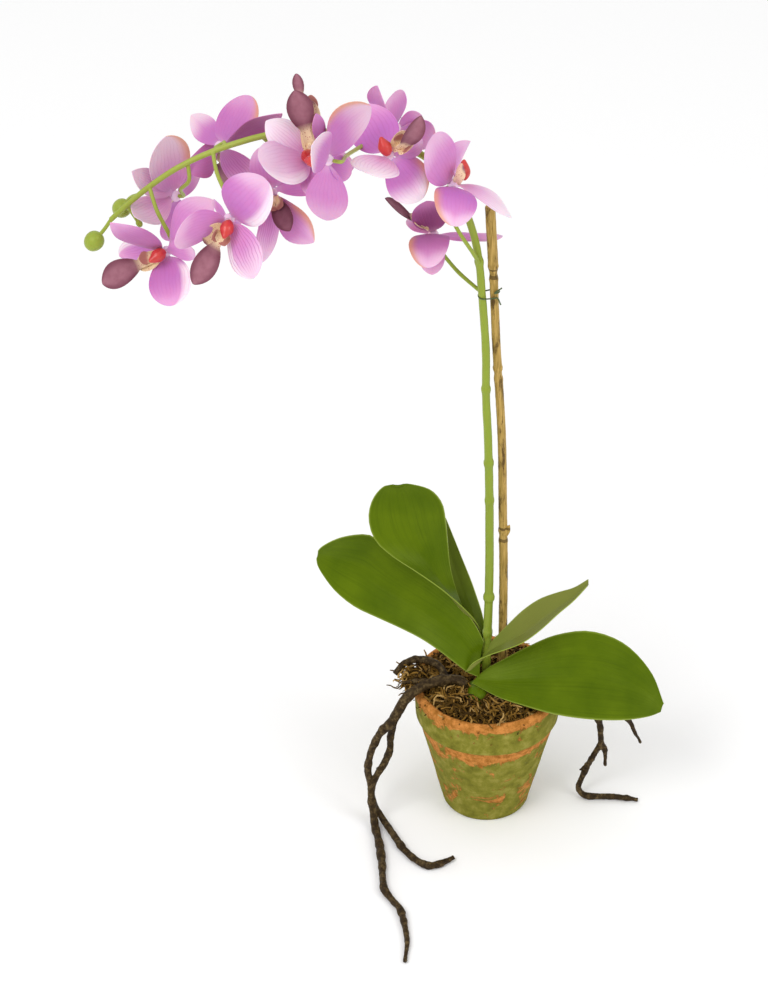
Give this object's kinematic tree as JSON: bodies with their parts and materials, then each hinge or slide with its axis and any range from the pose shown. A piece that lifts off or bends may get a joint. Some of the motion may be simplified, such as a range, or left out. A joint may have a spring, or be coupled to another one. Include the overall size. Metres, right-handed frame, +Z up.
{
  "type": "potted orchid",
  "caption": "Lilac moth orchid in a terracotta pot of moss, with strap leaves, trailing roots and an arching flower stem tied to a bamboo stake.",
  "frame": {"origin": "centre of the flat base of the pot, on the surface it stands on", "axes": "+Z up the stem, the spray of blooms arches towards -X, +Y points away from the viewer"},
  "size_m": [0.3342, 0.2098, 0.5179],
  "materials": {
    "terracotta": "Unglazed orange terracotta with a chalky green patina and rubbed patches",
    "filler": "Rough grey cast filler",
    "moss": "Dry curly brown-green moss",
    "crown": "Satin dark green",
    "stem": "Satin olive green, lighter towards the tip",
    "bamboo": "Dry tan cane with brown stains at its joints",
    "wire": "Green coated wire",
    "roots": "Rough dark brown bark",
    "leaf": "Waxy mid green with fine lengthwise veins",
    "tepals": "Soft lilac with pale tips and fine darker veins",
    "lip": "Dull mauve, cream with red spots at the throat",
    "column": "Bright coral red"
  },
  "bodies": {
    "root": {"pot": "terracotta", "filler_plug": "filler", "moss": "moss", "crown": "crown", "flower_stem": "stem", "bamboo_stake": "bamboo", "wire_tie": "wire", "roots_left": "roots", "roots_right": "roots", "leaf_front_right": "leaf", "leaf_back_right": "leaf", "leaf_back_left": "leaf", "leaf_back_middle": "leaf", "leaf_front_left": "leaf", "bloom_a_tepals": "tepals", "bloom_a_lip": "lip", "bloom_a_column": "column", "bloom_b_tepals": "tepals", "bloom_b_lip": "lip", "bloom_b_column": "column", "bloom_c_tepals": "tepals", "bloom_c_lip": "lip", "bloom_c_column": "column", "bloom_d_tepals": "tepals", "bloom_d_lip": "lip", "bloom_d_column": "column", "bloom_e_tepals": "tepals", "bloom_e_lip": "lip", "bloom_e_column": "column", "bloom_m_tepals": "tepals", "bloom_m_lip": "lip", "bloom_m_column": "column", "bloom_f_tepals": "tepals", "bloom_f_lip": "lip", "bloom_f_column": "column", "bloom_g_tepals": "tepals", "bloom_g_lip": "lip", "bloom_g_column": "column", "bloom_h_tepals": "tepals", "bloom_h_lip": "lip", "bloom_h_column": "column", "bloom_i_tepals": "tepals", "bloom_i_lip": "lip", "bloom_i_column": "column", "bloom_j_tepals": "tepals", "bloom_j_lip": "lip", "bloom_j_column": "column"}
  },
  "joints": []
}
